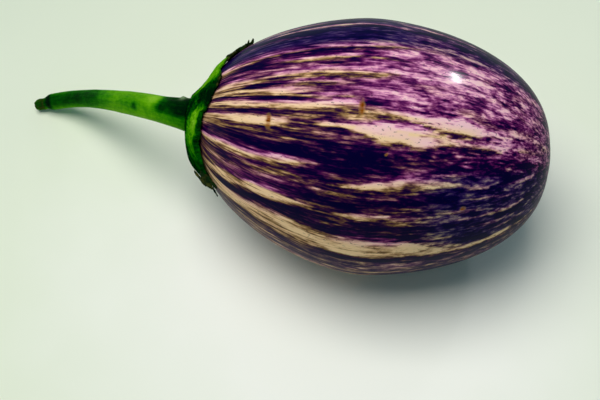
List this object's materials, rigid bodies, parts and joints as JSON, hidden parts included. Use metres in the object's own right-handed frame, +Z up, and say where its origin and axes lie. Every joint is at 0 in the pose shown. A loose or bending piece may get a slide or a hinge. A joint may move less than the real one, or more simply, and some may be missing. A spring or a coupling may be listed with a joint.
{
  "type": "eggplant",
  "caption": "Plump egg-shaped eggplant with streaked skin, a lobed green calyx and a long drooping stalk, lying on its side.",
  "frame": {"origin": "centre of the small flat spot that the fruit rests on", "axes": "+X along the fruit from its stalk to its blossom end, +Z up from the table"},
  "size_m": [0.1848, 0.0845, 0.0838],
  "materials": {
    "skin": "waxy gloss, purple with cream streaks",
    "calyx_green": "satin leaf green with dry brown tips",
    "stalk_green": "satin green with brown scars"
  },
  "bodies": {
    "root": {"fruit": "skin", "calyx": "calyx_green", "stem": "stalk_green"}
  },
  "joints": []
}
